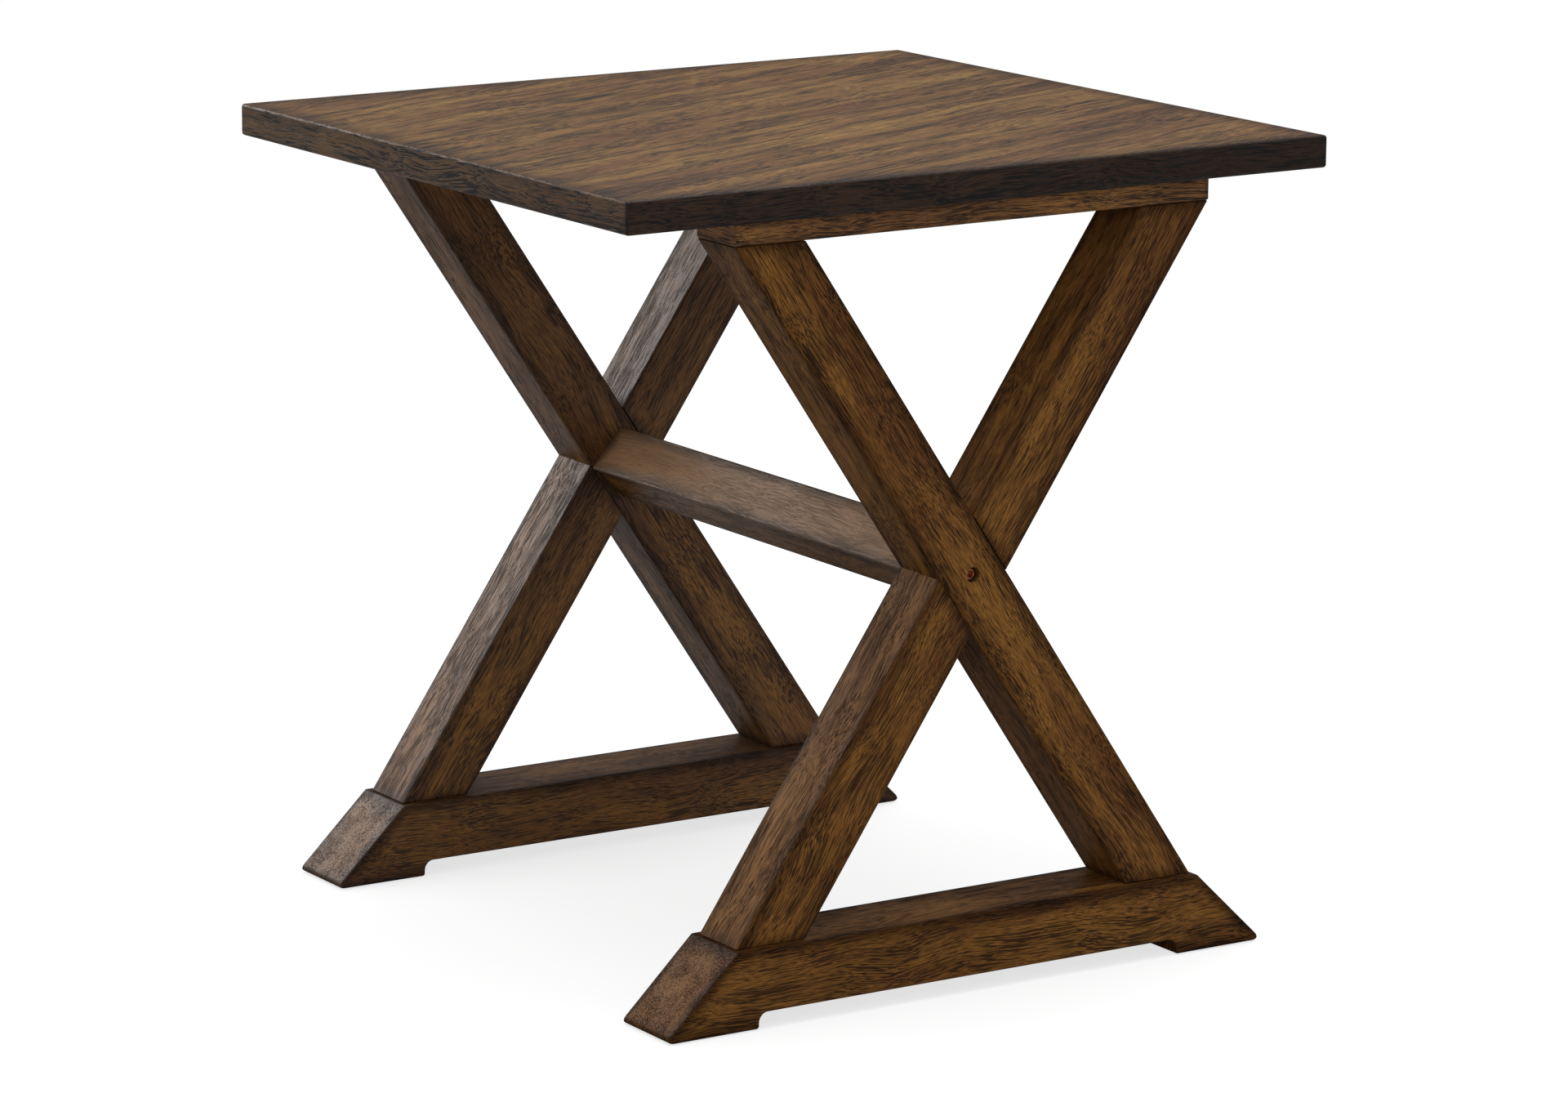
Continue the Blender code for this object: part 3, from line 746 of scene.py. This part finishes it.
# How many cells each noise has in a metre: along the fibres, then twice across them.
SWAY_SCALE = (9, 20, 20)
BAND_SCALE = (11, 70, 70)
LONG_DASH_SCALE = (27, 1450, 1450)
SHORT_DASH_SCALE = (55, 2600, 2600)
FIBRE_SCALE = (140, 1700, 1700)
TONE_SCALE = (4, 34, 34)
LONG_SHARE = 0.65                # how much the long dashes count, beside the short ones
PORE_START = 0.53                # the noise above this is pore
CROWDING = 0.07                  # how far a crowded band lowers that
PORE_BLUR = 0.06
SHADE_BASE, SHADE_GAIN = -0.15, 2.3
BAND_BROWN = 0.30
FIBRE_RELIEF = 0.25

grain_group, grain_in, grain_out = new_group(
    "open_grain",
    {"Point": (POINT, (0, 0, 0)), "Seed": (VALUE, 0.0), "Gold": (TINT, GOLD),
     "Brown": (TINT, BROWN), "Pore": (TINT, PORE), "Wander": (VALUE, 0.022),
     "Pore Depth": (VALUE, 0.85), "Coarseness": (VALUE, 1.0), "Lift": (VALUE, 1.0)},
    {"Colour": TINT, "Pores": VALUE, "Height": VALUE})
tree = grain_group
sized = place(tree, "ShaderNodeVectorMath", {0: grain_in["Point"], "Scale": calc(
    tree, "DIVIDE", 1.0, grain_in["Coarseness"])}, operation="SCALE").outputs[0]
sway = noise(tree, stretch(tree, sized, SWAY_SCALE), grain_in["Seed"], 1.0)
centred = place(tree, "ShaderNodeVectorMath", {0: sway.outputs["Color"], 1: (0.5, 0.5, 0.5)},
                operation="SUBTRACT").outputs[0]
sideways = stretch(tree, centred, (0, 1, 1))
shifted = place(tree, "ShaderNodeVectorMath", {0: sideways, "Scale": grain_in["Wander"]},
                operation="SCALE").outputs[0]
bent = place(tree, "ShaderNodeVectorMath", {0: sized, 1: shifted},
             operation="ADD").outputs[0]
bands = noise(tree, stretch(tree, bent, BAND_SCALE), grain_in["Seed"], 2.0, 0.55)
crowded = soft_step(tree, bands.outputs["Fac"], 0.38, 0.62)
long_dashes = noise(tree, stretch(tree, bent, LONG_DASH_SCALE), grain_in["Seed"], 1.5)
short_dashes = noise(tree, stretch(tree, bent, SHORT_DASH_SCALE), grain_in["Seed"], 1.0)
dashes = calc(tree, "ADD", calc(tree, "MULTIPLY", long_dashes.outputs["Fac"], LONG_SHARE),
              calc(tree, "MULTIPLY", short_dashes.outputs["Fac"], 1 - LONG_SHARE))
start = calc(tree, "SUBTRACT", PORE_START, calc(tree, "MULTIPLY", crowded, CROWDING))
pores = soft_step(tree, dashes, start, calc(tree, "ADD", start, PORE_BLUR))
fibres = noise(tree, stretch(tree, bent, FIBRE_SCALE), grain_in["Seed"], 1.0)
tone = noise(tree, stretch(tree, bent, TONE_SCALE), grain_in["Seed"], 2.0)
ground = blend_colour(tree, soft_step(tree, tone.outputs["Fac"], 0.28, 0.66),
                      grain_in["Brown"], grain_in["Gold"])
shade = calc(tree, "ADD", SHADE_BASE,
             calc(tree, "MULTIPLY", fibres.outputs["Fac"], SHADE_GAIN))
shade = calc(tree, "MULTIPLY", shade, grain_in["Lift"])
ground = blend_colour(tree, 1.0, ground, place(tree, "ShaderNodeCombineColor", {
    "Red": shade, "Green": shade, "Blue": shade}).outputs[0], "MULTIPLY")
ground = blend_colour(tree, calc(tree, "MULTIPLY", crowded, BAND_BROWN), ground,
                      grain_in["Brown"])
inked = calc(tree, "MULTIPLY", pores, grain_in["Pore Depth"])
tree.links.new(blend_colour(tree, inked, ground, grain_in["Pore"]), grain_out["Colour"])
tree.links.new(pores, grain_out["Pores"])
raised = calc(tree, "SUBTRACT",
              calc(tree, "MULTIPLY", fibres.outputs["Fac"], FIBRE_RELIEF), pores)
tree.links.new(raised, grain_out["Height"])
print("open_grain:", len(tree.nodes), "nodes")

# %% [markdown]
# ## Glaze in the edges
#
# The maker brushed a dark glaze over the stain and wiped it off the middle of each face. It stays
# along the arrises and in the corners. A face's distance to its nearest arris comes from slabs: a
# slab is the space between two parallel planes, and a point on the surface is always at zero in
# one slab, so the second smallest slab distance is the distance to the nearest arris.

# %% Group: distance into a slab, and distance to an arris
slab_group, slab_in, slab_out = new_group(
    "slab_depth",
    {"Point": (POINT, (0, 0, 0)), "Normal": (POINT, (0, 0, 1)), "Middle": (VALUE, 0.0),
     "Half": (VALUE, 10.0)}, {"Depth": VALUE})
tree = slab_group
along = place(tree, "ShaderNodeVectorMath", {0: slab_in["Point"], 1: slab_in["Normal"]},
              operation="DOT_PRODUCT").outputs["Value"]
off = calc(tree, "ABSOLUTE", calc(tree, "SUBTRACT", along, slab_in["Middle"]))
tree.links.new(calc(tree, "SUBTRACT", slab_in["Half"], off), slab_out["Depth"])

glaze_group, glaze_in, glaze_out = new_group(
    "edge_glaze",
    {"Point": (POINT, (0, 0, 0)), "First": (VALUE, 10.0), "Second": (VALUE, 10.0),
     "Third": (VALUE, 10.0), "Seed": (VALUE, 0.0), "Band": (VALUE, 0.012)},
    {"Glaze": VALUE})
tree = glaze_group
nearer = calc(tree, "MINIMUM", glaze_in["First"], glaze_in["Second"])
farther = calc(tree, "MAXIMUM", glaze_in["First"], glaze_in["Second"])
to_arris = calc(tree, "MAXIMUM", nearer, calc(tree, "MINIMUM", farther, glaze_in["Third"]))
patchy = noise(tree, stretch(tree, glaze_in["Point"], (22, 22, 22)), glaze_in["Seed"], 2.0)
reach = calc(tree, "MULTIPLY", glaze_in["Band"],
             calc(tree, "ADD", 0.55, calc(tree, "MULTIPLY", patchy.outputs["Fac"], 0.9)))
share = calc(tree, "DIVIDE", to_arris, reach)
tree.links.new(calc(tree, "SUBTRACT", 1.0, soft_step(tree, share, 0.0, 1.0)), glaze_out["Glaze"])
print("edge_glaze:", len(tree.nodes), "nodes")


# %% [markdown]
# ## Stained wood
#
# Each piece of wood has a material of its own: the same grain and glaze groups, with the slabs
# that bound this piece, a seed, and bands of painted shade beside the joints that cross it.

# %% Stained wood
GLAZE_TINT = (0.30, 0.27, 0.26, 1)
# The pale tan of the painted light on one face of the stretcher.
PAINTED_LIGHT_TINT = (0.46, 0.29, 0.165, 1)
ON_FACE = 0.003                  # a point this near a face's plane lies on that face
PAINTED_LIGHT_REACH = 0.004               # the painted light dies out this far from its face
GLAZE_COVER = 0.6                # how much of the painted light the glaze hides
LACQUER_ROUGHNESS = 0.40
PORE_ROUGHNESS = 0.2             # what a pore adds to it
RELIEF_STRENGTH, RELIEF_DEPTH = 0.35, 0.0003


def slab(tree, point, normal, middle, half):
    """Depth of the surface point inside one slab."""
    node = place(tree, "ShaderNodeGroup", node_tree=slab_group)
    for socket, value in {"Normal": normal, "Middle": middle, "Half": half}.items():
        node.inputs[socket].default_value = value
    tree.links.new(point, node.inputs["Point"])
    return node.outputs["Depth"]


def new_material(name):
    """A material with its node tree and its Principled shader."""
    material = bpy.data.materials.new(name)
    material.use_nodes = True
    shader = material.node_tree.nodes["Principled BSDF"]
    return material, material.node_tree, shader


def stain(piece, seed, slabs, glaze_and_shade_bands=(), glaze=1.0, band=0.012, wander=0.022, coarseness=1.0,
          sheen=0.3, lift=1.0, painted_light_face=None, depth=0.85, gold=GOLD, tint=GLAZE_TINT):
    """Stained, glazed and lacquered wood for one piece.

    A slab is (normal, middle, half). A wash is (the slab it lies beside, its reach, the normal
    and the offset of the face it lies on, its strength); on a leg a wash is painted shade beside
    the joint. The argument for painted light is (face normal, offset, strength): a pale tint
    added to one face, as painted light.
    """
    material, tree, shader = new_material(f"{piece.name}_stain")
    place_on_grain = place(tree, "ShaderNodeAttribute", attribute_name="grain")
    grain = place(tree, "ShaderNodeGroup", node_tree=grain_group)
    tree.links.new(place_on_grain.outputs["Vector"], grain.inputs["Point"])
    settings = {"Seed": seed, "Wander": wander, "Coarseness": coarseness, "Pore Depth": depth,
                "Lift": lift, "Gold": gold}
    for socket, value in settings.items():
        grain.inputs[socket].default_value = value
    point = place(tree, "ShaderNodeTexCoord").outputs["Object"]
    depths = [slab(tree, point, *one) for one in slabs]
    if len(depths) == 4:
        depths = [calc(tree, "MINIMUM", depths[0], depths[3])] + depths[1:3]
    edge = place(tree, "ShaderNodeGroup", node_tree=glaze_group)
    tree.links.new(point, edge.inputs["Point"])
    for socket, slab_output in zip(("First", "Second", "Third"), depths):
        tree.links.new(slab_output, edge.inputs[socket])
    edge.inputs["Seed"].default_value = seed
    edge.inputs["Band"].default_value = band
    mask = calc(tree, "MULTIPLY", edge.outputs["Glaze"], glaze)
    # A wash on a leg is painted shade beside the joint; on the top's front edge it is glaze.
    for beside_slab, reach, face_normal, face_offset, strength in glaze_and_shade_bands:
        beside = calc(tree, "ABSOLUTE", slab(tree, point, *beside_slab))
        darkening = calc(tree, "SUBTRACT", 1.0, soft_step(tree, beside, 0.0, reach))
        facing = slab(tree, point, face_normal, face_offset, 0.0)
        on_face = calc(tree, "GREATER_THAN", ON_FACE, calc(tree, "ABSOLUTE", facing))
        darkening = calc(tree, "MULTIPLY", calc(tree, "MULTIPLY", darkening, on_face), strength)
        mask = calc(tree, "MAXIMUM", mask, darkening)
    colour = blend_colour(tree, mask, grain.outputs["Colour"], blend_colour(
        tree, 1.0, grain.outputs["Colour"], tint, "MULTIPLY"))
    # A pale tint added on one face is painted light.
    if painted_light_face:
        face_normal, face_offset, strength = painted_light_face
        facing = calc(tree, "ABSOLUTE", slab(tree, point, face_normal, face_offset, 0.0))
        on_face = calc(tree, "SUBTRACT", 1.0, soft_step(tree, facing, 0.0, PAINTED_LIGHT_REACH))
        clear = calc(tree, "SUBTRACT", 1.0, calc(tree, "MULTIPLY", mask, GLAZE_COVER))
        painted_light_share = calc(tree, "MULTIPLY", calc(tree, "MULTIPLY", on_face, clear), strength)
        colour = blend_colour(tree, painted_light_share, colour, PAINTED_LIGHT_TINT, "ADD")
    tree.links.new(colour, shader.inputs["Base Color"])
    rough = calc(tree, "ADD", LACQUER_ROUGHNESS,
                 calc(tree, "MULTIPLY", grain.outputs["Pores"], PORE_ROUGHNESS))
    tree.links.new(rough, shader.inputs["Roughness"])
    bump = place(tree, "ShaderNodeBump", {"Strength": RELIEF_STRENGTH, "Distance": RELIEF_DEPTH,
                                          "Height": grain.outputs["Height"]})
    tree.links.new(bump.outputs["Normal"], shader.inputs["Normal"])
    shader.inputs["Specular IOR Level"].default_value = sheen
    piece.data.materials.clear()
    piece.data.materials.append(material)
    print(f"{material.name}: {len(tree.nodes)} nodes")


# %% [markdown]
# ## The top and the cleats
#
# The glaze lies wide and soft round the rim of the top, and covers the whole of its front edge.
# The cleats are stained lighter and have little glaze, so they stand out from the edge above.

# %% Stain the top and the cleats
TOP_GOLD = (0.215, 0.112, 0.028, 1)
TOP_GLAZE_TINT = (0.17, 0.12, 0.085, 1)
WHOLE_FACE = 0.5                 # a reach far beyond the height of the top's front edge


def box_slabs(low, high):
    """The three slabs of an upright box."""
    normals = ((1, 0, 0), (0, 1, 0), (0, 0, 1))
    return [(normals[i], (low[i] + high[i]) / 2, (high[i] - low[i]) / 2) for i in range(3)]


low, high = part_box("tabletop")
front_edge = (((0, 0, 1), top_centre.z, top_size.z / 2), WHOLE_FACE, (0, 1, 0), low.y, 1.0)
stain(tabletop, 1.7, box_slabs(low, high), glaze_and_shade_bands=[front_edge], band=0.03, glaze=0.62,
      wander=0.02, sheen=0.42, depth=1.0, gold=TOP_GOLD, tint=TOP_GLAZE_TINT)
for number, (side_name, cleat) in enumerate(cleats.items()):
    stain(cleat, 11.3 + number, box_slabs(*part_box(f"{side_name}_cleat")), glaze=0.4, lift=1.5,
          band=0.006)

# %% [markdown]
# ## The legs' stain
#
# Where one leg crosses another, a wash darkens the crossed face beside the joint: painted shade
# along the joint. The front frame shows hardly any reflection and the rear one shows some.
# Their sheen is set to match that, and is not a known property of the lacquer.

# %% Stain the legs
SHEEN_OF = {"front": 0.06, "rear": 0.3}
# How far the painted shade beside a crossing reaches.
CROSSING_SHADE_REACH = 0.011

for number, ((side_name, lean_name), leg) in enumerate(legs.items()):
    lean = LEANS[lean_name]
    low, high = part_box(f"{side_name}_leg_{lean_name}")
    _, across = leg_directions(lean)
    _, other_across = leg_directions(-lean)
    slabs = [(across, across.dot(CROSSING), LEG_WIDTH / 2),
             ((0, 1, 0), (low.y + high.y) / 2, leg_size.y / 2),
             ((0, 0, 1), (low.z + high.z) / 2, leg_size.z / 2)]
    crossed = (other_across, other_across.dot(CROSSING), LEG_WIDTH / 2)
    side_y = low.y if lean > 0 else high.y
    # The wash on the crossed face is painted shade beside the joint.
    stain(leg, 21.9 + 3.1 * number, slabs, glaze=0.72, sheen=SHEEN_OF[side_name],
          glaze_and_shade_bands=[(crossed, CROSSING_SHADE_REACH, (0, 1, 0), side_y, 0.8)])

# %% [markdown]
# ## The stain on the feet and the stretcher
#
# The sloping ends of a foot count as faces too, so a foot has a fourth slab. The upper left face
# of the stretcher is made much paler than the rest by a tint of its own: painted light on that
# face.
# The feet are made a little darker all over: painted shade for the lowest parts of the table.

# %% Stain the feet and the stretcher
OPEN_SLAB = 0.3                  # half a slab so deep that its far side is out of reach

for number, (side_name, foot) in enumerate(feet.items()):
    low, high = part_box(f"{side_name}_foot")
    rise, run = high.z - low.z, FOOT_HALF - FOOT_TOP_HALF
    slope_out = Vector((rise, 0, run)).normalized()
    mirrored = Vector((-slope_out.x, 0, slope_out.z))
    edge_at = slope_out.dot(Vector((FOOT_HALF, 0, low.z)))
    slabs = [(slope_out, edge_at - OPEN_SLAB, OPEN_SLAB),
             ((0, 1, 0), (low.y + high.y) / 2, (high.y - low.y) / 2),
             ((0, 0, 1), (low.z + high.z) / 2, rise / 2),
             (mirrored, edge_at - OPEN_SLAB, OPEN_SLAB)]
    # A lift below one darkens the foot all over: painted shade.
    stain(foot, 41.3 + 2.7 * number, slabs, sheen=SHEEN_OF[side_name], lift=0.88)
side_a = Vector((math.cos(STRETCHER_TURN), 0, math.sin(STRETCHER_TURN)))
low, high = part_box("stretcher")
slabs = [(side_a, side_a.dot(stretcher_middle), STRETCHER_SIDE / 2),
         (inward, inward.dot(stretcher_middle), STRETCHER_SIDE / 2),
         ((0, 1, 0), 0.0, (high.y - low.y) / 2)]
# The pale tint on the upper left face is painted light, standing in for light that falls on that
# face.
stain(stretcher, 57.1, slabs, sheen=0.35,
      painted_light_face=(inward, inward.dot(stretcher_middle) + STRETCHER_SIDE / 2, 0.46))

# %% [markdown]
# ## Hardware finishes
#
# The bolts and their washers have a dark bronze plate. Zinc plate on the hidden screws and nuts
# is duller and a little cloudy. The dowels are bare beech, and the glides brown nylon.

# %% Bronze, zinc, beech and nylon
def cloudy(name, light, dark, scale, metallic, roughness, spread):
    """A finish whose colour and roughness drift from place to place."""
    material, tree, shader = new_material(name)
    point = place(tree, "ShaderNodeTexCoord").outputs["Object"]
    patches = noise(tree, stretch(tree, point, scale), 0.0, 3.0).outputs["Fac"]
    tree.links.new(blend_colour(tree, patches, dark, light), shader.inputs["Base Color"])
    rough = calc(tree, "ADD", roughness, calc(tree, "MULTIPLY", patches, spread))
    tree.links.new(rough, shader.inputs["Roughness"])
    shader.inputs["Metallic"].default_value = metallic
    bump = place(tree, "ShaderNodeBump", {"Strength": 0.15, "Distance": 0.0001,
                                          "Height": patches})
    tree.links.new(bump.outputs["Normal"], shader.inputs["Normal"])
    return material


bronze = cloudy("bronze_plate", (0.62, 0.27, 0.15, 1), (0.24, 0.09, 0.05, 1),
                (900, 900, 900), 1.0, 0.12, 0.2)
zinc = cloudy("zinc_plate", (0.62, 0.62, 0.60, 1), (0.40, 0.41, 0.42, 1),
              (600, 600, 600), 1.0, 0.25, 0.3)
beech = cloudy("bare_beech", (0.60, 0.41, 0.25, 1), (0.46, 0.29, 0.16, 1),
               (900, 900, 60), 0.0, 0.55, 0.2)
nylon = cloudy("brown_nylon", (0.11, 0.08, 0.058, 1), (0.075, 0.052, 0.038, 1),
               (300, 300, 300), 0.0, 0.45, 0.15)
for piece in bolts:
    piece.data.materials.append(bronze)
for piece in glide_pieces:
    piece.data.materials.append(nylon)
FINISH_OF = {"washer": bronze, "barrel_nut": zinc, "screw": zinc, "dowel": beech}
for name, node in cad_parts.items():
    for word, material in FINISH_OF.items():
        if word in name:
            for spot in node.material_slots:
                spot.material = material
print("hidden fasteners finished as", ", ".join(FINISH_OF))

# %% [markdown]
# ## Studio
#
# A white room lights the table softly from everywhere, and a wide panel overhead draws a faint
# shadow. The camera sees a white floor, while the light that the floor throws back up is kept low,
# as over a pale matt cloth. Three smaller panels give the lacquer and the bolt their highlights.

# %% Floor, world and lights
FLOOR_HALF = 40
FLOOR_GLOW = 0.72                # what the camera alone sees on top of the lit floor
ROOM_LIGHT = 0.9
ROOM_SHEEN = 0.2                 # how bright the room is in the polish of the wood

bm = bmesh.new()
bmesh.ops.create_grid(bm, x_segments=1, y_segments=1, size=FLOOR_HALF)
floor = to_piece("studio_floor", bm)
material, tree, shader = new_material("pale_floor")
shader.inputs["Roughness"].default_value = 0.9
shader.inputs["Specular IOR Level"].default_value = 0.1
ray = place(tree, "ShaderNodeLightPath")
grit = noise(tree, place(tree, "ShaderNodeTexCoord").outputs["Object"], 0.0, 2.0)
pale = blend_colour(tree, grit.outputs["Fac"], (0.30, 0.30, 0.30, 1), (0.32, 0.32, 0.32, 1))
tree.links.new(pale, shader.inputs["Base Color"])
glow = calc(tree, "MULTIPLY", ray.outputs["Is Camera Ray"], FLOOR_GLOW)
shader.inputs["Emission Color"].default_value = (1, 1, 1, 1)
tree.links.new(glow, shader.inputs["Emission Strength"])
floor.data.materials.append(material)

scene = bpy.context.scene
world = bpy.data.worlds.new("white_room")
scene.world = world
world.use_nodes = True
backdrop = world.node_tree.nodes["Background"]
backdrop.inputs["Color"].default_value = (1, 1, 1, 1)
tree = world.node_tree
ray = place(tree, "ShaderNodeLightPath")
room = place(tree, "ShaderNodeMapRange", {"Value": ray.outputs["Is Glossy Ray"],
                                          "To Min": ROOM_LIGHT, "To Max": ROOM_SHEEN})
wall = calc(tree, "MAXIMUM", room.outputs["Result"], ray.outputs["Is Camera Ray"])
tree.links.new(wall, backdrop.inputs["Strength"])
scene.view_settings.view_transform = "Standard"


def softbox(name, place_at, aim_at, side, power):
    """A square soft light that looks at a point."""
    data = bpy.data.lights.new(name, "AREA")
    data.shape = "SQUARE"
    data.size = side
    data.energy = power
    lamp = bpy.data.objects.new(name, data)
    lamp.location = place_at
    aim = Vector(aim_at) - Vector(place_at)
    lamp.rotation_euler = aim.to_track_quat("-Z", "Y").to_euler()
    scene.collection.objects.link(lamp)
    return lamp


TABLE_MIDDLE = (0, 0, 0.35)
softbox("overhead", (0, 0, 2.6), TABLE_MIDDLE, 2.4, 45)
# The other panels show only in the polish. Each has its place, aim, side, watts and spread.
for name, place_at, aim_at, side, power, spread in (
        ("sheen_high", (-1.2, 2.8, 1.5), (0, 0.24, 0.3), 0.8, 1.1, 40),
        ("sheen_low", (-0.7, 2.6, 1.9), (-0.2, 0.24, 0.05), 0.8, 0.6, 30),
        ("glint", (-2.8, -3.37, 1.39), (0, -0.27, 0.31), 0.2, 0.08, 6)):
    panel = softbox(name, place_at, aim_at, side, power)
    panel.data.spread = math.radians(spread)
    panel.visible_diffuse = False
print("lights:", ", ".join(light.name for light in bpy.data.lights))
